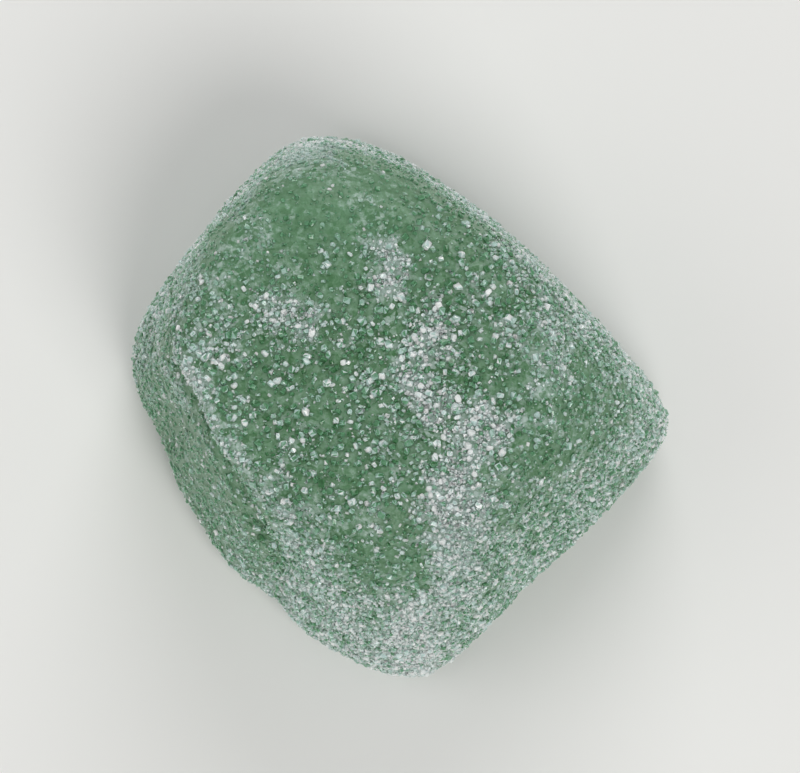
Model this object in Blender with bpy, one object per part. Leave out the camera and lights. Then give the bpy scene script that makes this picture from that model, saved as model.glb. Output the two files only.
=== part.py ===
# A sugared jelly cube: one soft, slightly squashed block with hollowed faces and raised
# edges, rolled in coarse sugar. The largest sugar grains are fused to it as relief.
# It stands on its flattened underside, with the origin in the middle of that face.

import math
import random

import bmesh
import bpy
from mathutils import Matrix, Vector, noise

# Sizes are in metres and angles in degrees.
# Each face of the block points along "turn", counted from +X towards +Y, and leans up by
# "lean". It lies "reach" away from the middle of the block, and its own middle is hollowed
# by "dish". The corner faces, the shoulder and the front slope take the sharpness off it.
FACES = {
    "top": {"turn": 110, "lean": 86, "reach": 0.0090, "dish": 0.0011},
    "base": {"turn": 0, "lean": -90, "reach": 0.0084, "dish": 0.0},
    "left_front": {"turn": 209, "lean": 8, "reach": 0.0095, "dish": 0.0005},
    "right_front": {"turn": 315, "lean": 6, "reach": 0.0106, "dish": 0.0003},
    "right_back": {"turn": 41, "lean": 9, "reach": 0.0130, "dish": 0.0003},
    "left_back": {"turn": 143, "lean": 9, "reach": 0.0135, "dish": 0.0003},
    "right_shoulder": {"turn": 355, "lean": 44, "reach": 0.0139, "dish": 0.0004},
    "left_corner": {"turn": 189, "lean": 15, "reach": 0.0154, "dish": 0.0},
    "back_corner": {"turn": 71, "lean": 15, "reach": 0.0144, "dish": 0.0},
    "front_corner": {"turn": 240, "lean": 8, "reach": 0.00955, "dish": 0.0},
    "front_slope": {"turn": 266, "lean": 41, "reach": 0.0106, "dish": 0.0003},
}
MIDDLE_HEIGHT = 0.0080
CORNER_SHARPNESS = 5.94

# Every spot is shared out among the faces near it. A face's hollow starts where its own
# share reaches HOLLOW_START and is full HOLLOW_BLEND further on; half of it has a flat
# bottom. An edge starts where its two faces hold EDGE_START of the spot together.
HOLLOW_START = 0.5
HOLLOW_BLEND = 0.45
FLAT_PART = 0.5
EDGE_START = 0.45
EDGE_BLEND = 0.4

# A ridge stands along the edge between two faces. Its width is a part of the blend
# between them, which takes about 5 mm.
RIDGES = [
    {"faces": ("top", "left_front"), "height": 0.00060, "width": 0.30},
    {"faces": ("front_slope", "left_front"), "height": 0.00050, "width": 0.30},
    {"faces": ("front_slope", "front_corner"), "height": 0.00015, "width": 0.30},
    {"faces": ("top", "right_front"), "height": 0.00025, "width": 0.40},
    {"faces": ("top", "right_shoulder"), "height": 0.00045, "width": 0.35},
    {"faces": ("top", "right_back"), "height": 0.00015, "width": 0.40},
    {"faces": ("top", "left_back"), "height": 0.00020, "width": 0.40},
    {"faces": ("right_front", "right_back"), "height": 0.00020, "width": 0.40},
    {"faces": ("left_back", "back_corner"), "height": 0.00010, "width": 0.40},
]
# The crease just under the left front ridge.
CREASE = {
    "above": ("top", "front_slope"),
    "below": "left_front",
    "end": "front_corner",
    "depth": 0.00060,
    "offset": 0.42,
    "width": 0.15,
    "fade": 0.08,
}

# Upright dents in the sides, one under the left corner and one beside the front corner.
# Their widths are in degrees around the block. They leave the level faces alone.
DENTS = [
    {"turn": 175, "lean": 0, "depth": 0.00055, "width": 9},
    {"turn": 237, "lean": 0, "depth": 0.00032, "width": 7},
]
LEVEL_FACES = ("top", "front_slope", "base")

# Low swellings and hollows all over: how deep they are and how far apart.
LUMPS = [
    {"depth": 0.00024, "spacing": 0.0062},
    {"depth": 0.00010, "spacing": 0.0024},
]

ROWS_PER_SIDE = 19
ROW_CROWDING = 0.32
START_FLATNESS = 0.8

GRAIN_COUNT = 215
GRAIN_LARGEST = 0.00088
GRAIN_SMALLEST = 0.00056
# Length, width and height of a grain as parts of its size, from least to most.
GRAIN_LENGTH = (0.8, 1.15)
GRAIN_WIDTH = (0.65, 0.95)
GRAIN_HEIGHT = (0.6, 0.85)
GRAIN_TUMBLE = (12, 52)
GRAIN_LIFT = 0.096
GRAIN_FLOOR_CLEARANCE = 0.0014
GRAIN_SEED = 41
TRIES_PER_GRAIN = 14

JELLY_COLOUR = (0.175, 0.258, 0.201, 1.0)
JELLY_ROUGHNESS = 0.55
SHARP_ANGLE = 40


def outward(face):
    """The unit vector that a face points along."""
    turn, lean = math.radians(face["turn"]), math.radians(face["lean"])
    return Vector((math.cos(turn) * math.cos(lean), math.sin(turn) * math.cos(lean), math.sin(lean)))


def ease(value):
    """A smooth step from 0 to 1."""
    value = min(max(value, 0.0), 1.0)
    return value * value * (3 - 2 * value)


def bump(distance, width):
    """A bell that is 1 in the middle and fades out over the width."""
    return math.exp(-((distance / width) ** 2))


def block_surface(direction):
    """The plain block's point along a ray from its middle, and each face's share of it."""
    pulls = {}
    for name, face in FACES.items():
        facing = max(0.0, direction.dot(outward(face)))
        pulls[name] = (facing / face["reach"]) ** CORNER_SHARPNESS
    total = sum(pulls.values())
    point = direction * total ** (-1 / CORNER_SHARPNESS)
    return point, {name: pull / total for name, pull in pulls.items()}


def hollow(direction, name, share):
    """How far a face is hollowed here: a flat-bottomed and a round-bottomed dish together."""
    flat_hollow = ease((share - HOLLOW_START) / HOLLOW_BLEND)
    facing = max(0.0, direction.dot(outward(FACES[name])))
    round_hollow = max(0.0, 2 * facing * facing - 1)
    return FACES[name]["dish"] * (FLAT_PART * flat_hollow + (1 - FLAT_PART) * round_hollow)


def edge_strength(together):
    """1 along the edge between faces that hold this much of a spot together, 0 away from it."""
    return ease((together - EDGE_START) / EDGE_BLEND)


def jelly_surface(direction):
    """The finished block's point along a ray from its middle."""
    point, shares = block_surface(direction)
    moved = point.copy()
    for name, share in shares.items():
        moved -= outward(FACES[name]) * hollow(direction, name, share)
    for ridge in RIDGES:
        one, other = ridge["faces"]
        across = bump(shares[one] - shares[other], ridge["width"])
        away = (outward(FACES[one]) + outward(FACES[other])).normalized()
        moved += away * ridge["height"] * edge_strength(shares[one] + shares[other]) * across
    above, below = sum(shares[name] for name in CREASE["above"]), shares[CREASE["below"]]
    across = bump(below - above - CREASE["offset"], CREASE["width"])
    along = edge_strength(above + below + shares[CREASE["end"]]) * ease(above / CREASE["fade"])
    moved -= outward(FACES[CREASE["below"]]) * CREASE["depth"] * across * along
    flat = Vector((direction.x, direction.y, 0)).normalized()
    sides = 1 - sum(shares[name] for name in LEVEL_FACES)
    for dent in DENTS:
        aside = math.degrees(math.acos(min(flat.dot(outward(dent)), 1.0)))
        moved -= flat * dent["depth"] * bump(aside, dent["width"]) * sides
    for lump in LUMPS:
        moved += direction * lump["depth"] * noise.noise(point / lump["spacing"])
    moved.z = max(moved.z + MIDDLE_HEIGHT, 0.0)
    return moved


def crowded(value):
    """Moves a row of the starting cube towards the cube's edges, where the ridges are."""
    return value * (1 + ROW_CROWDING * (1 - value * value))


def make_jelly(collection):
    """The block, from a cube with many rows whose points move out to the jelly's surface."""
    bm = bmesh.new()
    bmesh.ops.create_cube(bm, size=2)
    bmesh.ops.subdivide_edges(bm, edges=bm.edges[:], cuts=ROWS_PER_SIDE - 1, use_grid_fill=True)
    eighth_turn = Matrix.Rotation(math.radians(45), 3, "Z")
    for vert in bm.verts:
        place = Vector([crowded(value) for value in vert.co])
        place.z *= START_FLATNESS
        vert.co = jelly_surface((eighth_turn @ place).normalized())
    centre = Vector()
    for axis in (0, 1):
        places = [vert.co[axis] for vert in bm.verts]
        centre[axis] = (min(places) + max(places)) / 2
    bmesh.ops.translate(bm, verts=bm.verts, vec=-centre)
    bmesh.ops.triangulate(bm, faces=bm.faces[:])
    bmesh.ops.recalc_face_normals(bm, faces=bm.faces)

    mesh = bpy.data.meshes.new("gummy")
    bm.to_mesh(mesh)
    bm.free()
    gummy = bpy.data.objects.new("gummy", mesh)
    collection.objects.link(gummy)
    return gummy


def random_spot(mesh, reach, rng):
    """A random point on the surface, drawn evenly by area, and its normal."""
    goal = rng.random() * reach[-1]
    low, high = 0, len(reach) - 1
    while low < high:
        half = (low + high) // 2
        if reach[half] < goal:
            low = half + 1
        else:
            high = half
    face = mesh.polygons[low]
    first, second, third = [mesh.vertices[index].co for index in face.vertices]
    one, other = rng.random(), rng.random()
    if one + other > 1:
        one, other = 1 - one, 1 - other
    return first + (second - first) * one + (third - first) * other, face.normal.copy()


def spread_spots(mesh, count, rng):
    """Spots far from each other: each is the best of a few draws, and none is near the floor."""
    reach, total = [], 0.0
    for face in mesh.polygons:
        total += face.area
        reach.append(total)
    spots = []
    while len(spots) < count:
        best, best_gap = None, 0.0
        for _ in range(TRIES_PER_GRAIN):
            spot, normal = random_spot(mesh, reach, rng)
            if spot.z < GRAIN_FLOOR_CLEARANCE:
                continue
            gap = min([(spot - other).length for other, _ in spots], default=1.0)
            if gap > best_gap:
                best, best_gap = (spot, normal), gap
        if best:
            spots.append(best)
    return spots


def make_grain(index, spot, normal, size, rng, collection):
    """One sugar crystal, a block with its own proportions, sunk into the jelly and turned."""
    bm = bmesh.new()
    bmesh.ops.create_cube(bm, size=size)
    sides = Vector((rng.uniform(*GRAIN_LENGTH), rng.uniform(*GRAIN_WIDTH), rng.uniform(*GRAIN_HEIGHT)))
    bmesh.ops.scale(bm, verts=bm.verts, vec=sides)
    tumble = Matrix.Rotation(math.radians(rng.uniform(*GRAIN_TUMBLE)), 4, "X")
    tumble = tumble @ Matrix.Rotation(rng.uniform(0, math.tau), 4, "Z")
    stand = normal.to_track_quat("Z", "Y").to_matrix().to_4x4()
    spin = Matrix.Rotation(rng.uniform(0, math.tau), 4, "Z")
    place = Matrix.Translation(spot + normal * size * GRAIN_LIFT)
    bmesh.ops.transform(bm, matrix=place @ stand @ spin @ tumble, verts=bm.verts)
    mesh = bpy.data.meshes.new(f"grain_{index:03d}")
    bm.to_mesh(mesh)
    bm.free()
    grain = bpy.data.objects.new(mesh.name, mesh)
    grain.hide_render = True
    grain.display_type = "WIRE"
    collection.objects.link(grain)


def fuse_grains(gummy, collection):
    """Joins the grains to the block in one union, and removes the loose grains."""
    union = gummy.modifiers.new("sugar", "BOOLEAN")
    union.operation = "UNION"
    union.operand_type = "COLLECTION"
    union.collection = collection
    union.solver = "EXACT"
    evaluated = gummy.evaluated_get(bpy.context.evaluated_depsgraph_get())
    joined = bpy.data.meshes.new_from_object(evaluated)
    gummy.modifiers.clear()
    gummy.data = joined
    joined.name = "gummy"
    for grain in list(collection.objects):
        bpy.data.objects.remove(grain)
    bpy.data.collections.remove(collection)


def add_sugar(gummy, scene_collection):
    """The largest sugar grains, spread evenly over all but the underside, largest first."""
    grains = bpy.data.collections.new("sugar")
    scene_collection.children.link(grains)
    rng = random.Random(GRAIN_SEED)
    for index, (spot, normal) in enumerate(spread_spots(gummy.data, GRAIN_COUNT, rng)):
        size = GRAIN_LARGEST + (GRAIN_SMALLEST - GRAIN_LARGEST) * index / (GRAIN_COUNT - 1)
        make_grain(index, spot, normal, size, rng, grains)
    fuse_grains(gummy, grains)


def jelly_material():
    """Frosted green jelly."""
    material = bpy.data.materials.new("jelly")
    material.use_nodes = True
    shader = material.node_tree.nodes["Principled BSDF"]
    shader.inputs["Base Color"].default_value = JELLY_COLOUR
    shader.inputs["Roughness"].default_value = JELLY_ROUGHNESS
    shader.inputs["Metallic"].default_value = 0.0
    return material


def main():
    for old in list(bpy.data.objects):
        bpy.data.objects.remove(old)
    candy = bpy.data.collections.new("gummy_candy")
    bpy.context.scene.collection.children.link(candy)
    gummy = make_jelly(candy)
    add_sugar(gummy, bpy.context.scene.collection)
    gummy.data.materials.clear()
    gummy.data.materials.append(jelly_material())
    gummy.data.shade_smooth()
    gummy.data.set_sharp_from_angle(angle=math.radians(SHARP_ANGLE))


main()
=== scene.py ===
import math

import bmesh
import bpy
import numpy as np
from mathutils import Matrix, Vector, noise


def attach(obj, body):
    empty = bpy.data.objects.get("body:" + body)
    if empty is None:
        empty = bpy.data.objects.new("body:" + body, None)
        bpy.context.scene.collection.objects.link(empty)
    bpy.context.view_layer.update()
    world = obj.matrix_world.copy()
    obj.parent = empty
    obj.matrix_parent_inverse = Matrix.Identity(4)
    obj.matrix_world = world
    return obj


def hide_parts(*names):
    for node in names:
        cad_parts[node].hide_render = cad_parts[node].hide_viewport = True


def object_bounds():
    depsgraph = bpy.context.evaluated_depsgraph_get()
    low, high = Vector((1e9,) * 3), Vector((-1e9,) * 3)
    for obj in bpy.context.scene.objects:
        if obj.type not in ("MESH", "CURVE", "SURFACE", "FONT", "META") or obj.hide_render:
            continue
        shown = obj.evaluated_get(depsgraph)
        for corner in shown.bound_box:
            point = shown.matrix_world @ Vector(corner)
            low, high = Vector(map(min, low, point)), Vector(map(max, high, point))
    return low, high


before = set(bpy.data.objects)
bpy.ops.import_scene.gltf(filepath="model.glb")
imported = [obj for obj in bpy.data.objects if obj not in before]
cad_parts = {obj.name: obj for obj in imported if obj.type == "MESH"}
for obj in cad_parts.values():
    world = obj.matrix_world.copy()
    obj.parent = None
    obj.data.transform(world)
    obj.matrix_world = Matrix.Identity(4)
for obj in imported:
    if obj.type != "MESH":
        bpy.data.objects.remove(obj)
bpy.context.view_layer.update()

mm = 0.001
nearZero = 1e-9          # keeps a ray that points straight up or down from dividing by zero

# The jelly block. Each face points along turn (degrees from +X towards +Y), leans up by lean, and lies
# reach mm away from the block's middle. Its own middle is hollowed by dish mm. On each face the sugar lies
# as thick as frost says and as hazy as haze says, both from 0 to 1: haze is sunk and powdered over, and
# without it the crystals are crisp, with green gaps.
# The side faces carry thicker frost than the top partly for their sugar and partly as painted light: it keeps
# their rims pale where the sides fall in shade.
jelly = {
    "faces": {
        "top": {"turn": 110, "lean": 86, "reach": 9.0, "dish": 1.1, "frost": 0.28, "haze": 0.0},
        "base": {"turn": 0, "lean": -90, "reach": 8.4, "dish": 0.0, "frost": 0.45, "haze": 0.8},
        "leftFront": {"turn": 209, "lean": 8, "reach": 9.5, "dish": 0.5, "frost": 0.27, "haze": 1.0},
        "rightFront": {"turn": 315, "lean": 6, "reach": 10.6, "dish": 0.3, "frost": 0.51, "haze": 0.35},
        "rightBack": {"turn": 41, "lean": 9, "reach": 13.0, "dish": 0.3, "frost": 0.68, "haze": 0.35},
        "leftBack": {"turn": 143, "lean": 9, "reach": 13.5, "dish": 0.3, "frost": 0.55, "haze": 0.35},
        "rightShoulder": {"turn": 355, "lean": 44, "reach": 13.9, "dish": 0.4, "frost": 0.39, "haze": 0.85},
        "leftCorner": {"turn": 189, "lean": 15, "reach": 15.4, "dish": 0.0, "frost": 0.54, "haze": 0.4},
        "backCorner": {"turn": 71, "lean": 15, "reach": 14.4, "dish": 0.0, "frost": 0.62, "haze": 0.35},
        "frontCorner": {"turn": 240, "lean": 8, "reach": 9.55, "dish": 0.0, "frost": 0.76, "haze": 0.35},
        "frontSlope": {"turn": 266, "lean": 41, "reach": 10.6, "dish": 0.3, "frost": 0.26, "haze": 0.4},
    },
    "middleHeight": 8.0,     # mm above what it rests on
    "standOff": 0.25,        # the sugar under it lifts it this much
    "cornerSharpness": 5.94,
    # A face's hollow starts where it holds this share of a spot, and an edge where its two faces do.
    "hollowStart": 0.5,
    "hollowBlend": 0.45,
    "flatPart": 0.5,         # of a hollow: the rest is round
    "edgeStart": 0.45,
    "edgeBlend": 0.4,
    "ridges": [              # along the edge between two faces: height in mm, width as a part of their blend
        # A ridge's frost is partly sugar gathered along the edge and partly a painted highlight where the
        # raised edge catches the light.
        {"faces": ("top", "leftFront"), "height": 0.60, "width": 0.30, "frost": 0.50, "haze": 0.1},
        {"faces": ("frontSlope", "leftFront"), "height": 0.50, "width": 0.30, "frost": 0.52, "haze": 0.1},
        {"faces": ("frontSlope", "frontCorner"), "height": 0.15, "width": 0.30, "frost": 0.24, "haze": 0.0},
        {"faces": ("frontSlope", "rightFront"), "height": 0.0, "width": 0.35, "frost": 0.25, "haze": 0.1},
        {"faces": ("frontCorner", "rightFront"), "height": 0.0, "width": 0.50, "frost": 0.52, "haze": 0.0},
        {"faces": ("top", "rightFront"), "height": 0.25, "width": 0.40, "frost": 0.0, "haze": 0.0},
        {"faces": ("top", "rightShoulder"), "height": 0.45, "width": 0.35, "frost": 0.15, "haze": 0.0},
        {"faces": ("top", "rightBack"), "height": 0.15, "width": 0.40, "frost": 0.2, "haze": 0.0},
        {"faces": ("top", "leftBack"), "height": 0.20, "width": 0.40, "frost": 0.1, "haze": 0.0},
        {"faces": ("rightFront", "rightBack"), "height": 0.20, "width": 0.40, "frost": 0.0, "haze": 0.0},
        {"faces": ("leftBack", "backCorner"), "height": 0.10, "width": 0.40, "frost": 0.35, "haze": 0.0},
    ],
    "crease": {              # runs just below the left front ridge: depth in mm, the other sizes in shares
        "above": ("top", "frontSlope"),
        "below": "leftFront",
        "end": "frontCorner",
        "depth": 0.60,
        "offset": 0.42,
        "width": 0.15,
        "fade": 0.08,
        # Its frost and haze below zero leave the groove bare and darker green: painted shade in the crease.
        "frost": -1.2,
        "haze": -1.0,
    },
    "dents": [               # upright ones in the sides, depth in mm and width in degrees
        {"turn": 175, "lean": 0, "depth": 0.55, "width": 9},
        {"turn": 237, "lean": 0, "depth": 0.32, "width": 7},
    ],
    "levelFaces": ("top", "frontSlope", "base"),
    "lumps": [               # depth and spacing in mm, coarse to fine
        {"depth": 0.24, "spacing": 6.2},
        {"depth": 0.10, "spacing": 2.4},
        {"depth": 0.07, "spacing": 0.9},
        {"depth": 0.04, "spacing": 0.42},
    ],
    "rows": 92,              # of faces on each side of the cube that it is made from
    "rowCrowding": 0.32,     # how much closer together they lie towards its edges
    "startFlatness": 0.8,    # its height as a part of its width
}

# Where the sugar on the top is thicker, thinner or hazier: places in mm as seen from above, with sizes in mm.
# Their outlines are ragged, and the clouds are finer changes all over.
patches = {
    "thick": [
        {"at": (-10.8, -1.1), "size": 1.4, "much": 0.18},
        {"at": (-9.4, 1.2), "size": 1.3, "much": 0.20},
        {"at": (-5.9, 2.6), "size": 1.4, "much": 0.36},
        {"at": (-4.1, 1.6), "size": 1.1, "much": 0.34},
        {"at": (-0.4, 4.4), "size": 1.0, "much": 0.65},
        {"at": (-0.9, 5.7), "size": 0.8, "much": 0.34},
        {"at": (-1.6, 6.7), "size": 0.8, "much": 0.34},
        {"at": (-2.1, 8.4), "size": 0.7, "much": 0.35},
        {"at": (-2.8, 9.7), "size": 1.2, "much": 0.3},
        {"at": (1.4, 1.6), "size": 1.3, "much": 0.4},
        {"at": (0.9, -0.8), "size": 1.2, "much": 0.4},
        {"at": (1.9, -2.5), "size": 1.2, "much": 0.4},
        {"at": (4.6, -3.5), "size": 1.3, "much": 0.65},
        {"at": (3.2, -5.6), "size": 1.4, "much": 0.4},
        {"at": (2.7, -7.8), "size": 1.3, "much": 1.2},
        {"at": (1.9, -9.2), "size": 1.2, "much": 0.3},
        {"at": (4.3, -12.3), "size": 1.7, "much": 0.3},
    ],
    "thin": [
        {"at": (-2.8, 2.2), "size": 0.9, "much": 0.35},
        {"at": (-3.7, -0.7), "size": 1.4, "much": 0.4},
        {"at": (-6.1, -2.6), "size": 1.4, "much": 0.25},
        {"at": (-2.8, -5.0), "size": 1.5, "much": 0.36},
        {"at": (-3.7, -6.6), "size": 1.2, "much": 0.2},
        {"at": (-0.4, -8.3), "size": 1.1, "much": 0.25},
        {"at": (-4.7, 8.3), "size": 2.2, "much": 0.50},
        {"at": (2.3, 7.0), "size": 2.2, "much": 0.6},
        {"at": (1.6, 5.4), "size": 1.2, "much": 0.35},
        {"at": (-3.4, 5.0), "size": 1.3, "much": 0.35},
        {"at": (5.8, 3.8), "size": 1.8, "much": 0.15},
        {"at": (9.4, -2.0), "size": 2.2, "much": 0.15},
        {"at": (7.6, -5.0), "size": 1.8, "much": 0.2},
        {"at": (-0.8, 10.2), "size": 3.2, "much": 0.32},
        {"at": (-2.1, -11.2), "size": 1.8, "much": 0.3},
    ],
    "hazy": [
        {"at": (-3.5, 10.5), "size": 5.0, "much": 0.85},
        {"at": (-9.5, 5.5), "size": 3.5, "much": 0.4},
    ],
    "strength": 1.4,         # multiplies what each patch does
    "raggedness": 1.0,       # their outlines wander about this far
    "raggedSpacing": 1.6,
    "raggedShifts": (11.0, 23.0),
    "clouds": [
        {"much": 0.30, "spacing": 2.1, "shift": 7.0},
        {"much": 0.40, "spacing": 0.8, "shift": 3.0},
    ],
    "sideClouds": 0.6,       # how much of the clouds the sides have
    "least": 0.16,           # frost, anywhere
    "topStart": 8.5,         # the patches fade in from this height up
    "topBlend": 4.0,
}


def outward(face):
    turn, lean = math.radians(face["turn"]), math.radians(face["lean"])
    return (math.cos(turn) * math.cos(lean), math.sin(turn) * math.cos(lean), math.sin(lean))


def ease(value):  # a smooth step from 0 to 1
    value = np.clip(value, 0, 1)
    return value * value * (3 - 2 * value)


def bump(distance, width):  # a bell, 1 in the middle
    return np.exp(-(distance / width) ** 2)


def waves(points, spacing, shift=0.0):  # soft random waves over the surface, about -1 to 1
    away = Vector((shift, shift, shift))
    return np.array([noise.noise(Vector(point) / spacing + away) for point in points])


def edgeStrength(together):  # 1 along the edge between faces that hold a spot together
    return ease((together - jelly["edgeStart"]) / jelly["edgeBlend"])


# Where rays from the block's middle meet its surface, in mm, with the frost and the haze there.
def jellySurface(directions):
    faces = jelly["faces"]
    names = list(faces)
    normals = np.array([outward(faces[name]) for name in names])
    reach = np.array([faces[name]["reach"] for name in names])
    facing = np.clip(directions @ normals.T, 0, None)
    pulls = (facing / reach) ** jelly["cornerSharpness"]
    total = pulls.sum(axis=1)
    plain = directions * (total ** (-1 / jelly["cornerSharpness"]))[:, None]
    shares = pulls / total[:, None]
    share = {name: shares[:, index] for index, name in enumerate(names)}
    amount = shares @ np.array([faces[name]["frost"] for name in names])
    hazy = shares @ np.array([faces[name]["haze"] for name in names])
    points = plain.copy()
    for index, name in enumerate(names):
        flatHollow = ease((share[name] - jelly["hollowStart"]) / jelly["hollowBlend"])
        roundHollow = np.clip(2 * facing[:, index] ** 2 - 1, 0, None)
        depth = jelly["flatPart"] * flatHollow + (1 - jelly["flatPart"]) * roundHollow
        points -= normals[index] * (faces[name]["dish"] * depth)[:, None]
    for ridge in jelly["ridges"]:
        one, other = ridge["faces"]
        strength = edgeStrength(share[one] + share[other]) * bump(share[one] - share[other], ridge["width"])
        away = normals[names.index(one)] + normals[names.index(other)]
        away /= np.linalg.norm(away)
        points += away * (ridge["height"] * strength)[:, None]
        # the ridge's frost: sugar along the edge and a painted highlight on it
        amount += ridge["frost"] * strength
        hazy += ridge["haze"] * strength
    crease = jelly["crease"]
    above, below = sum(share[name] for name in crease["above"]), share[crease["below"]]
    strength = bump(below - above - crease["offset"], crease["width"])
    strength *= edgeStrength(below + above + share[crease["end"]]) * ease(above / crease["fade"])
    points -= normals[names.index(crease["below"])] * (crease["depth"] * strength)[:, None]
    # the crease's frost and haze paint shade into the groove
    amount += crease["frost"] * strength
    hazy += crease["haze"] * strength
    flat = directions * (1, 1, 0)
    flat /= np.maximum(np.linalg.norm(flat, axis=1), nearZero)[:, None]
    sides = 1 - sum(share[name] for name in jelly["levelFaces"])
    for dent in jelly["dents"]:
        aside = np.degrees(np.arccos(np.clip(flat @ outward(dent), -1, 1)))
        points -= flat * (dent["depth"] * bump(aside, dent["width"]) * sides)[:, None]
    for lump in jelly["lumps"]:
        points += directions * (lump["depth"] * waves(plain, lump["spacing"]))[:, None]
    points[:, 2] = np.maximum(points[:, 2] + jelly["middleHeight"], jelly["standOff"])
    centre = (points.min(axis=0) + points.max(axis=0)) / 2
    points[:, :2] -= centre[:2]
    return points, amount, hazy


# Adds the patches to the frost and the haze, which come back between 0 and 1.
def addPatches(points, amount, hazy):
    onTop = ease((points[:, 2] - patches["topStart"]) / patches["topBlend"])
    ragged = patches["raggedness"]
    shiftAcross, shiftAlong = patches["raggedShifts"]
    across = points[:, 0] + ragged * waves(points, patches["raggedSpacing"], shiftAcross)
    along = points[:, 1] + ragged * waves(points, patches["raggedSpacing"], shiftAlong)

    def near(spot):
        away = np.hypot(across - spot["at"][0], along - spot["at"][1])
        return patches["strength"] * spot["much"] * bump(away, spot["size"]) * onTop

    for spot in patches["thick"]:
        amount = amount + near(spot)
    for spot in patches["thin"]:
        amount = amount - near(spot)
    for spot in patches["hazy"]:
        hazy = hazy + near(spot)
    cloudy = patches["sideClouds"] + (1 - patches["sideClouds"]) * onTop
    for cloud in patches["clouds"]:
        amount = amount + cloud["much"] * cloudy * waves(points, cloud["spacing"], cloud["shift"])
    return np.clip(amount, patches["least"], 1), np.clip(hazy, 0, 1)


# A cube with many rows, its points moved out to the jelly's surface.
def buildJelly():
    bm = bmesh.new()
    bmesh.ops.create_cube(bm, size=2)
    bmesh.ops.subdivide_edges(bm, edges=bm.edges[:], cuts=jelly["rows"] - 1, use_grid_fill=True)
    mesh = bpy.data.meshes.new("jellyBlock")
    bm.to_mesh(mesh)
    bm.free()
    places = np.empty(len(mesh.vertices) * 3, np.float32)
    mesh.vertices.foreach_get("co", places)
    places = places.reshape(-1, 3).astype(float)
    places *= 1 + jelly["rowCrowding"] * (1 - places ** 2)
    places[:, 2] *= jelly["startFlatness"]
    eighthTurn = np.array(Matrix.Rotation(math.radians(45), 3, "Z"))  # its sides face as the candy's do
    directions = places @ eighthTurn.T
    directions /= np.linalg.norm(directions, axis=1)[:, None]
    points, amount, hazy = jellySurface(directions)
    amount, hazy = addPatches(points, amount, hazy)
    mesh.vertices.foreach_set("co", (points * mm).astype(np.float32).ravel())
    mesh.attributes.new("frost", "FLOAT", "POINT").data.foreach_set("value", amount.astype(np.float32))
    mesh.attributes.new("haze", "FLOAT", "POINT").data.foreach_set("value", hazy.astype(np.float32))
    mesh.shade_smooth()
    mesh.update()
    block = bpy.data.objects.new("jellyBlock", mesh)
    bpy.context.scene.collection.objects.link(block)
    return block


def readNumbers(source, name, count, width=1, kind=np.float32):
    numbers = np.empty(count * width, kind)
    source.foreach_get(name, numbers)
    return numbers.reshape(-1, width) if width > 1 else numbers


# The block's triangles as arrays: corners and areas, and each point's place in mm, normal, frost and haze,
# in columns 0 to 2, 3 to 5, 6 and 7.
def readSurface(block):
    mesh = block.data
    mesh.calc_loop_triangles()
    corners = readNumbers(mesh.loop_triangles, "vertices", len(mesh.loop_triangles), 3, np.int32)
    pointCount = len(mesh.vertices)
    places = readNumbers(mesh.vertices, "co", pointCount, 3).astype(float) / mm
    normals = readNumbers(mesh.vertices, "normal", pointCount, 3).astype(float)
    amount = readNumbers(mesh.attributes["frost"].data, "value", pointCount)
    hazy = readNumbers(mesh.attributes["haze"].data, "value", pointCount)
    one, other = places[corners[:, 1]] - places[corners[:, 0]], places[corners[:, 2]] - places[corners[:, 0]]
    areas = np.linalg.norm(np.cross(one, other), axis=1) / 2
    return {
        "corners": corners,
        "areas": areas,
        "points": np.column_stack([places, normals, amount, hazy]),
    }


# Sugar crystals by size, in mm. Each kind is one piece. Evenly is the part of them that ignores the frost,
# and contrast is how strongly the others follow it. Sunk is the part of their height that is in the jelly.
# Gap keeps them apart and stacked lifts some in thick frost, both in mm, and tilt is in radians.
# A small share of each kind is made nearly white: partly white sugar and partly painted glints.
crystalKinds = [
    {"name": "coarseSugar", "count": 1300, "small": 0.32, "large": 0.48, "gap": 0.66, "cut": "allEdges",
     "cutSize": 0.14, "evenly": 0.25, "contrast": 1.5, "fewerInHaze": 0.58, "tilt": 0.6, "sunk": 0.34,
     "sunkByHaze": 0.2, "stacked": 0.0, "unevenness": 0.05, "white": 0.66, "whiteByFrost": 0.5,
     "whiteAndGlinting": 0.08, "seed": 11},
    {"name": "mediumSugar", "count": 6900, "small": 0.22, "large": 0.40, "gap": 0.28, "cut": "uprightEdges",
     "cutSize": 0.22, "evenly": 0.12, "contrast": 1.8, "fewerInHaze": 0.72, "tilt": 0.6, "sunk": 0.32,
     "sunkByHaze": 0.33, "stacked": 0.05, "unevenness": 0.06, "white": 0.64, "whiteByFrost": 0.6,
     "whiteAndGlinting": 0.05, "seed": 12},
    {"name": "fineSugar", "count": 16400, "small": 0.12, "large": 0.25, "gap": 0.0, "cut": "none",
     "cutSize": 0.0, "evenly": 0.20, "contrast": 1.8, "fewerInHaze": 0.5, "tilt": 0.7, "sunk": 0.30,
     "sunkByHaze": 0.3, "stacked": 0.08, "unevenness": 0.1, "white": 0.62, "whiteByFrost": 0.8,
     "whiteAndGlinting": 0.06, "seed": 13},
    {"name": "sugarDust", "count": 16400, "small": 0.05, "large": 0.13, "gap": 0.0, "cut": "none",
     "cutSize": 0.0, "evenly": 0.25, "contrast": 1.8, "fewerInHaze": 0.3, "tilt": 0.8, "sunk": 0.2,
     "sunkByHaze": 0.0, "stacked": 0.15, "unevenness": 0.12, "white": 0.66, "whiteByFrost": 0.4,
     "whiteAndGlinting": 0.0, "seed": 14},
]
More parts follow.
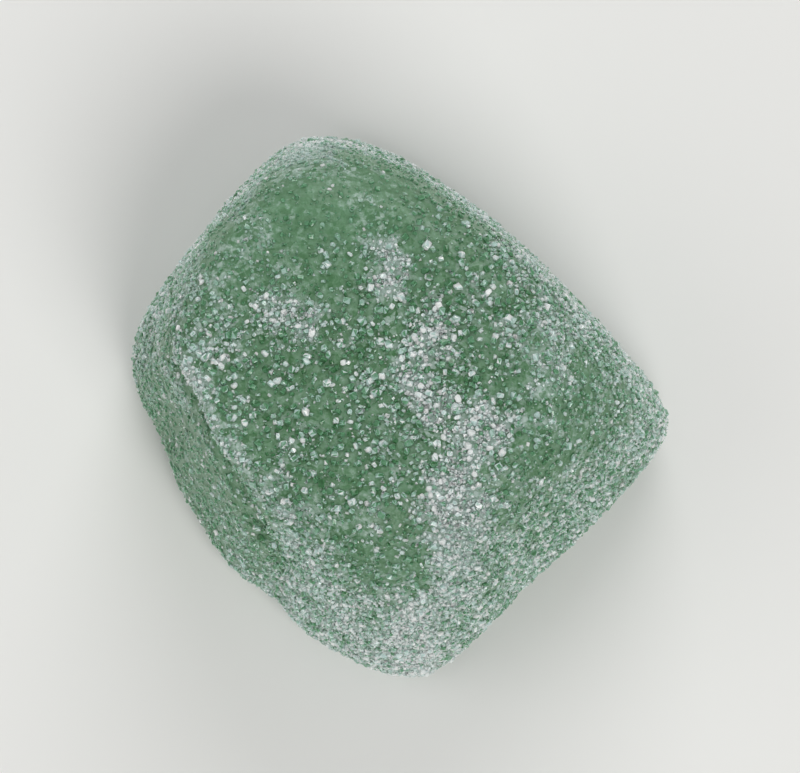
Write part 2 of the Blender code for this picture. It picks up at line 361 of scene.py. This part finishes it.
crystalForm = {
    "sides": [(0.85, 1.3), (0.7, 1.0), (0.5, 0.85)],     # length, width and height as parts of the size
    "taper": 0.35,           # at most this much narrower at the top
    "slant": 0.3,            # at most this far aside over its height
    "fewLarge": 1.6,         # above 1, small ones outnumber large ones
}
crystalHalf = 0.5            # from the middle of an upright 1 mm crystal to its ends
cornerDigits = 6             # decimals kept in its corners
nearlyUpright = 0.9          # a normal that points this much up or down is turned about another axis
drawsPerSpot = 2             # draws in a batch for each spot wanted
tone = {
    "spread": 0.26,
    # from facet to facet the tone spreads as painted reflections
    "facetReflectionSpread": 0.20,
    "inHaze": 0.42,
    "inHazeByFrost": 0.5,
    "hazeEvens": 0.8,
    "smallerInHaze": 0.3,
    # where the nearly white crystals start; they are partly painted glints
    "whiteAndGlintingFrom": 0.85,
    "plainFrost": 0.5,       # the frost at which a crystal is as white as its kind says
    "hazyFrost": 0.4,        # and the same in haze
}
underside = {"facing": -0.9, "part": 0.35}   # fewer crystals stay on the face it rests on


# Random spots on the jelly, more where the frost is thick and fewer where it is hazy, at least a gap apart.
def drawSpots(surface, kind, rng):
    reach = np.cumsum(surface["areas"])
    gap, cells, spots = kind["gap"], {}, []
    while len(spots) < kind["count"]:
        batch = kind["count"] * drawsPerSpot
        faces = np.searchsorted(reach, rng.random(batch) * reach[-1])
        faces = np.minimum(faces, len(reach) - 1)
        first, second = rng.random(batch), rng.random(batch)
        over = first + second > 1
        first[over], second[over] = 1 - first[over], 1 - second[over]
        weights = np.stack([1 - first - second, first, second], axis=1)
        drawn = (surface["points"][surface["corners"][faces]] * weights[:, :, None]).sum(axis=1)
        amount, hazy, upward = drawn[:, 6], drawn[:, 7], drawn[:, 5]
        wanted = kind["evenly"] + (1 - kind["evenly"]) * amount ** kind["contrast"]
        wanted *= 1 - kind["fewerInHaze"] * hazy
        wanted[upward < underside["facing"]] *= underside["part"]
        for spot in drawn[rng.random(batch) < wanted]:
            if len(spots) == kind["count"]:
                break
            if gap:
                cell = tuple(np.floor(spot[:3] / gap).astype(int))
                near = [
                    other
                    for dx in (-1, 0, 1)
                    for dy in (-1, 0, 1)
                    for dz in (-1, 0, 1)
                    for other in cells.get((cell[0] + dx, cell[1] + dy, cell[2] + dz), ())
                ]
                if any(np.sum((spot[:3] - other) ** 2) < gap * gap for other in near):
                    continue
                cells.setdefault(cell, []).append(spot[:3])
            spots.append(spot)
    spots = np.array(spots)
    normals = spots[:, 3:6] / np.linalg.norm(spots[:, 3:6], axis=1)[:, None]
    return spots[:, :3], normals, spots[:, 6], spots[:, 7]


# One crystal 1 mm across, from a cube with its edges cut, as arrays of corners and triangles. They are put in
# order, because the bevel's own order can change from run to run.
def crystalShape(kind):
    bm = bmesh.new()
    bmesh.ops.create_cube(bm, size=1)
    upright = [edge for edge in bm.edges if abs(edge.verts[0].co.z - edge.verts[1].co.z) > crystalHalf]
    edges = {"allEdges": bm.edges[:], "uprightEdges": upright, "none": []}[kind["cut"]]
    if edges:
        bmesh.ops.bevel(
            bm, geom=edges, offset=kind["cutSize"], segments=1, profile=0.5, affect="EDGES", material=-1
        )
    bm.verts.index_update()
    corners = np.round([vert.co[:] for vert in bm.verts], cornerDigits)
    order = np.lexsort(corners.T)
    rank = np.argsort(order).tolist()
    triangles = []
    for face in bm.faces:
        ring = [rank[vert.index] for vert in face.verts]
        start = ring.index(min(ring))
        ring = ring[start:] + ring[:start]
        triangles += [(ring[0], ring[step], ring[step + 1]) for step in range(1, len(ring) - 1)]
    bm.free()
    return corners[order], np.array(sorted(triangles))


# Rotation matrices about unit axes.
def axisTurns(axis, angle):
    x, y, z = axis.T
    cross = np.zeros((len(axis), 3, 3))
    cross[:, 0, 1], cross[:, 0, 2], cross[:, 1, 2] = -z, y, -x
    cross[:, 1, 0], cross[:, 2, 0], cross[:, 2, 1] = z, -y, x
    sine, cosine = np.sin(angle)[:, None, None], np.cos(angle)[:, None, None]
    return np.eye(3) + sine * cross + (1 - cosine) * (cross @ cross)


# For each crystal, a matrix that stands it on the surface, turned at random and tilted a little.
def turnMatrices(normals, tilt, rng):
    count = len(normals)
    helper = np.where(np.abs(normals[:, 2:3]) < nearlyUpright, [[0.0, 0.0, 1.0]], [[1.0, 0.0, 0.0]])
    side = np.cross(helper, normals)
    side /= np.linalg.norm(side, axis=1)[:, None]
    front = np.cross(normals, side)
    stand = np.stack([side, front, normals], axis=2)
    spin = rng.random(count) * math.tau
    lean = np.abs(rng.normal(0, tilt, count))
    way = rng.random(count) * math.tau
    tilted = axisTurns(np.stack([np.cos(way), np.sin(way), np.zeros(count)], axis=1), lean)
    spun = axisTurns(np.tile([0.0, 0.0, 1.0], (count, 1)), spin)
    return stand @ tilted @ spun


# How white each crystal looks, from 0 to 1: by the frost around it, evened out by haze, and a few nearly
# white, which are partly white sugar and partly painted glints.
def crystalTones(kind, amounts, hazes, rng):
    count = len(amounts)
    tones = kind["white"] + kind["whiteByFrost"] * (amounts - tone["plainFrost"])
    tones += rng.normal(0, tone["spread"], count)
    calm = tone["inHaze"] + tone["inHazeByFrost"] * (amounts - tone["hazyFrost"])
    tones += (calm - tones) * tone["hazeEvens"] * hazes
    # nearly white crystals, partly white sugar and partly painted glints
    whiteAndGlinting = rng.random(count) < kind["whiteAndGlinting"]
    tones[whiteAndGlinting] = rng.uniform(tone["whiteAndGlintingFrom"], 1, whiteAndGlinting.sum())
    return tones


# All crystals of one kind, as one mesh.
def scatterCrystals(surface, kind):
    rng = np.random.default_rng(kind["seed"])
    places, normals, amounts, hazes = drawSpots(surface, kind, rng)
    count = len(places)
    corners, triangles = crystalShape(kind)
    size = kind["small"] + (kind["large"] - kind["small"]) * rng.random(count) ** crystalForm["fewLarge"]
    size *= 1 - tone["smallerInHaze"] * hazes
    sides = np.stack([rng.uniform(*part, count) for part in crystalForm["sides"]], axis=1) * size[:, None]
    shaped = corners[None] * sides[:, None]
    taper = 1 - rng.uniform(0, crystalForm["taper"], (count, 1)) * (corners[None, :, 2] + crystalHalf)
    shaped[:, :, :2] *= taper[:, :, None]
    slant = crystalForm["slant"]
    shaped[:, :, 0] += shaped[:, :, 2] * rng.uniform(-slant, slant, (count, 1))
    shaped += rng.uniform(-1, 1, shaped.shape) * kind["unevenness"] * size[:, None, None]
    shaped = np.einsum("nij,nvj->nvi", turnMatrices(normals, kind["tilt"], rng), shaped)
    lift = (crystalHalf - kind["sunk"] - kind["sunkByHaze"] * hazes) * sides[:, 2]
    lift += kind["stacked"] * rng.random(count) * amounts
    shaped += (places + normals * lift[:, None])[:, None]
    low = shaped[:, :, 2].min(axis=1)
    shaped[:, :, 2] += np.maximum(-low, 0)[:, None]
    tones = crystalTones(kind, amounts, hazes, rng)
    # Each facet's tone is spread at random, lighter and darker as painted reflections, less so in haze.
    calm = 1 - tone["hazeEvens"] * hazes
    facets = tones[:, None] + calm[:, None] * rng.normal(0, tone["facetReflectionSpread"], (count, len(triangles)))
    faces = (triangles[None] + (np.arange(count) * len(corners))[:, None, None]).reshape(-1, 3)
    return joinedMesh(kind["name"], shaped.reshape(-1, 3) * mm, faces, np.clip(facets, 0, 1).ravel())


def joinedMesh(name, points, faces, tones):
    mesh = bpy.data.meshes.new(name)
    mesh.vertices.add(len(points))
    mesh.vertices.foreach_set("co", points.astype(np.float32).ravel())
    mesh.loops.add(len(faces) * 3)
    mesh.loops.foreach_set("vertex_index", faces.astype(np.int32).ravel())
    mesh.polygons.add(len(faces))
    mesh.polygons.foreach_set("loop_start", np.arange(0, len(faces) * 3, 3, dtype=np.int32))
    mesh.update(calc_edges=True)
    mesh.validate()
    mesh.attributes.new("tone", "FLOAT", "FACE").data.foreach_set("value", tones.astype(np.float32))
    mesh.shade_flat()
    piece = bpy.data.objects.new(name, mesh)
    bpy.context.scene.collection.objects.link(piece)
    return piece


def newMaterial(name):
    material = bpy.data.materials.new(name)
    material.use_nodes = True
    tree = material.node_tree
    return material, tree, tree.nodes["Principled BSDF"]


def addNode(tree, kind, **settings):
    node = tree.nodes.new(kind)
    for name, value in settings.items():
        setattr(node, name, value)
    return node


def colourRamp(tree, factor, stops):
    ramp = addNode(tree, "ShaderNodeValToRGB")
    elements = ramp.color_ramp.elements
    while len(elements) < len(stops):
        elements.new(0.5)
    for element, (position, colour) in zip(elements, stops):
        element.position = position
        element.color = (*colour, 1)
    tree.links.new(factor, ramp.inputs["Fac"])
    return ramp.outputs["Color"]


def noiseNode(tree, coordinates, spacing, detail, roughness=0.55):
    node = addNode(tree, "ShaderNodeTexNoise")
    node.inputs["Scale"].default_value = 1 / (spacing * mm)
    node.inputs["Detail"].default_value = detail
    node.inputs["Roughness"].default_value = roughness
    tree.links.new(coordinates, node.inputs["Vector"])
    return node.outputs["Fac"]


def timesPlus(tree, value, factor, extra):  # value * factor + extra, where extra is a number or a socket
    node = addNode(tree, "ShaderNodeMath", operation="MULTIPLY_ADD")
    tree.links.new(value, node.inputs[0])
    node.inputs[1].default_value = factor
    if isinstance(extra, float):
        node.inputs[2].default_value = extra
    else:
        tree.links.new(extra, node.inputs[2])
    return node.outputs["Value"]


def mapRange(tree, value, old, new, shape="LINEAR"):
    node = addNode(tree, "ShaderNodeMapRange", interpolation_type=shape)
    tree.links.new(value, node.inputs["Value"])
    node.inputs["From Min"].default_value, node.inputs["From Max"].default_value = old
    node.inputs["To Min"].default_value, node.inputs["To Max"].default_value = new
    return node.outputs["Result"]


def cellNode(tree, coordinates, spacing):  # cells about spacing mm across, each with its own value
    node = addNode(tree, "ShaderNodeTexVoronoi")
    node.inputs["Scale"].default_value = 1 / (spacing * mm)
    tree.links.new(coordinates, node.inputs["Vector"])
    parts = addNode(tree, "ShaderNodeSeparateColor")
    tree.links.new(node.outputs["Color"], parts.inputs["Color"])
    return parts.outputs["Red"]


def mixColours(tree, factor, one, other):
    node = addNode(tree, "ShaderNodeMix", data_type="RGBA")
    tree.links.new(factor, node.inputs["Factor"])
    tree.links.new(one, node.inputs["A"])
    tree.links.new(other, node.inputs["B"])
    return node.outputs["Result"]


# In this look and the sugar's, spacings, relief and subsurfaceScale are in mm, and colours are linear.
jellyLook = {
    "green": [(0.35, (0.028, 0.111, 0.029)), (0.70, (0.060, 0.188, 0.069)), (1.0, (0.160, 0.310, 0.185))],
    "hazyGreen": [(0.35, (0.085, 0.225, 0.102)), (0.65, (0.120, 0.274, 0.145)), (1.0, (0.165, 0.340, 0.205))],
    "powder": [(0.40, (0.340, 0.490, 0.410)), (1.0, (0.560, 0.690, 0.650))],
    "clouds": 0.5,
    "cloudSpacing": 1.8,
    "cloudDetail": 2.0,
    "grainSpacing": 0.22,
    "grainDetail": 4.0,
    "grainRoughness": 0.6,
    "cellSpacing": 0.30,
    "cells": 0.40,
    "hazeMost": 0.9,
    "powderByFrost": 0.80,
    "powderRange": (0.88, 1.50),
    "powderMost": 0.9,
    "roughness": (0.35, 0.7),
    "relief": 0.07,
    "reliefStrength": 0.7,
    "subsurface": 0.7,
    "subsurfaceRadius": (0.8, 0.9, 0.8),
    "subsurfaceScale": 1.6,
}


# Green jelly that light soaks into, with fine sugar sunk in it and sugar powder on it.
def jellyMaterial():
    look = jellyLook
    material, tree, shader = newMaterial("greenJelly")
    coordinates = addNode(tree, "ShaderNodeTexCoord").outputs["Object"]
    amount = addNode(tree, "ShaderNodeAttribute", attribute_name="frost").outputs["Fac"]
    hazy = addNode(tree, "ShaderNodeAttribute", attribute_name="haze").outputs["Fac"]
    clouds = noiseNode(tree, coordinates, look["cloudSpacing"], look["cloudDetail"])
    grain = noiseNode(tree, coordinates, look["grainSpacing"], look["grainDetail"], look["grainRoughness"])
    cells = cellNode(tree, coordinates, look["cellSpacing"])
    speckle = timesPlus(tree, cells, look["cells"], grain)
    green = colourRamp(tree, timesPlus(tree, clouds, look["clouds"], speckle), look["green"])
    hazyPart = mapRange(tree, hazy, (0, 1), (0, look["hazeMost"]))
    green = mixColours(tree, hazyPart, green, colourRamp(tree, speckle, look["hazyGreen"]))
    powdered = timesPlus(tree, amount, look["powderByFrost"], speckle)
    powder = mapRange(tree, powdered, look["powderRange"], (0, look["powderMost"]), "SMOOTHSTEP")
    colour = mixColours(tree, powder, green, colourRamp(tree, speckle, look["powder"]))
    tree.links.new(colour, shader.inputs["Base Color"])
    tree.links.new(mapRange(tree, powder, (0, 1), look["roughness"]), shader.inputs["Roughness"])
    relief = addNode(tree, "ShaderNodeBump")
    relief.inputs["Strength"].default_value = look["reliefStrength"]
    relief.inputs["Distance"].default_value = look["relief"] * mm
    tree.links.new(speckle, relief.inputs["Height"])
    tree.links.new(relief.outputs["Normal"], shader.inputs["Normal"])
    shader.inputs["Subsurface Weight"].default_value = look["subsurface"]
    shader.inputs["Subsurface Radius"].default_value = look["subsurfaceRadius"]
    shader.inputs["Subsurface Scale"].default_value = look["subsurfaceScale"] * mm
    return material


sugarLook = {
    "stops": [
        (0.0, (0.050, 0.165, 0.065)),
        (0.45, (0.140, 0.325, 0.190)),
        (0.8, (0.525, 0.672, 0.662)),
        (1.0, (0.885, 0.955, 0.970)),
    ],
    "cloudSpacing": 0.2,
    "cloudDetail": 2.0,
    # the fine clouds are painted internal reflections in the crystals
    "clouds": 0.25,          # how far they lift and lower a facet's tone
    "roughness": 0.16,
    "ior": 1.54,
    "subsurface": 1.0,
    "subsurfaceRadius": (1.0, 1.0, 1.0),
    "subsurfaceScale": 0.3,
}


# Sugar crystals that light soaks into, each facet from jelly green to white by its own tone, with fine clouds
# over it as painted internal reflections.
def sugarMaterial():
    look = sugarLook
    material, tree, shader = newMaterial("sugarCrystal")
    coordinates = addNode(tree, "ShaderNodeTexCoord").outputs["Object"]
    white = addNode(tree, "ShaderNodeAttribute", attribute_name="tone").outputs["Fac"]
    # fine clouds of painted internal reflections
    clouds = noiseNode(tree, coordinates, look["cloudSpacing"], look["cloudDetail"])
    lowered = timesPlus(tree, white, 1.0, -look["clouds"] / 2)
    white = timesPlus(tree, clouds, look["clouds"], lowered)
    tree.links.new(colourRamp(tree, white, look["stops"]), shader.inputs["Base Color"])
    shader.inputs["Roughness"].default_value = look["roughness"]
    shader.inputs["IOR"].default_value = look["ior"]
    shader.inputs["Subsurface Weight"].default_value = look["subsurface"]
    shader.inputs["Subsurface Radius"].default_value = look["subsurfaceRadius"]
    shader.inputs["Subsurface Scale"].default_value = look["subsurfaceScale"] * mm
    return material


# Places and sizes are in metres, the lens in mm.
studio = {
    "elevation": 80,         # degrees that the photo looks down
    "lens": 300,
    "fill": 0.78,            # the candy's part of the frame's height
    "frameSize": (800, 773),
    "clipStart": 0.005,
    "floorSize": 1.5,
    "floorColour": (0.86, 0.86, 0.85),
    "floorRoughness": 0.8,
    "worldColour": (1.0, 1.0, 0.98),
    "worldLight": 0.28,
    "lightsAimAt": (0, 0, 0.008),
}


def buildFloor():
    bm = bmesh.new()
    bmesh.ops.create_grid(bm, x_segments=1, y_segments=1, size=studio["floorSize"])
    mesh = bpy.data.meshes.new("floor")
    bm.to_mesh(mesh)
    bm.free()
    floor = bpy.data.objects.new("floor", mesh)
    bpy.context.scene.collection.objects.link(floor)
    material, tree, shader = newMaterial("paleFloor")
    shader.inputs["Base Color"].default_value = (*studio["floorColour"], 1)
    shader.inputs["Roughness"].default_value = studio["floorRoughness"]
    mesh.materials.append(material)


def aimedAt(target, eye):
    return (Vector(target) - Vector(eye)).to_track_quat("-Z", "Y").to_euler()


def addCamera(low, high):
    middle = (low + high) / 2
    up = math.radians(studio["elevation"])
    back = Vector((0, -math.cos(up), math.sin(up)))
    camera = bpy.data.cameras.new("camera")
    camera.lens = studio["lens"]
    width, height = studio["frameSize"]
    halfView = math.atan(camera.sensor_width / 2 / camera.lens * height / width)
    seenHeight = (high.y - low.y) * math.sin(up) + (high.z - low.z) * math.cos(up)
    distance = seenHeight / studio["fill"] / 2 / math.tan(halfView)
    eye = bpy.data.objects.new("camera", camera)
    eye.location = middle + back * distance
    eye.rotation_euler = aimedAt(middle, eye.location)
    camera.clip_start = studio["clipStart"]
    bpy.context.scene.collection.objects.link(eye)
    bpy.context.scene.camera = eye


softboxes = [
    {"name": "keyLight", "at": (0.14, -0.28, 0.38), "size": 0.26, "power": 1.14, "tint": (1.0, 0.99, 0.97)},
    {"name": "fillLight", "at": (-0.38, -0.05, 0.30), "size": 0.40, "power": 0.40, "tint": (1.0, 1.0, 0.98)},
    {"name": "backLight", "at": (0.06, 0.40, 0.30), "size": 0.35, "power": 0.95, "tint": (1.0, 1.0, 1.0)},
]


def addLights():
    for softbox in softboxes:
        light = bpy.data.lights.new(softbox["name"], "AREA")
        light.shape = "DISK"
        light.size = softbox["size"]
        light.energy = softbox["power"]
        light.color = softbox["tint"]
        lamp = bpy.data.objects.new(softbox["name"], light)
        lamp.location = softbox["at"]
        lamp.rotation_euler = aimedAt(studio["lightsAimAt"], softbox["at"])
        bpy.context.scene.collection.objects.link(lamp)
    world = bpy.data.worlds.new("studio")
    world.use_nodes = True
    background = world.node_tree.nodes["Background"]
    background.inputs["Color"].default_value = (*studio["worldColour"], 1)
    background.inputs["Strength"].default_value = studio["worldLight"]
    bpy.context.scene.world = world


block = buildJelly()
block.data.materials.append(jellyMaterial())
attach(block, "root")
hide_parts("gummy")
print("jelly block:", len(block.data.polygons), "faces")

surface = readSurface(block)
crystal = sugarMaterial()
for kind in crystalKinds:
    piece = scatterCrystals(surface, kind)
    piece.data.materials.append(crystal)
    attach(piece, "root")
    print(kind["name"] + ":", len(piece.data.polygons), "facets")

low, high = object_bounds()
buildFloor()
addCamera(low, high)
addLights()
bpy.context.scene.view_settings.view_transform = "Standard"
print("studio is ready")
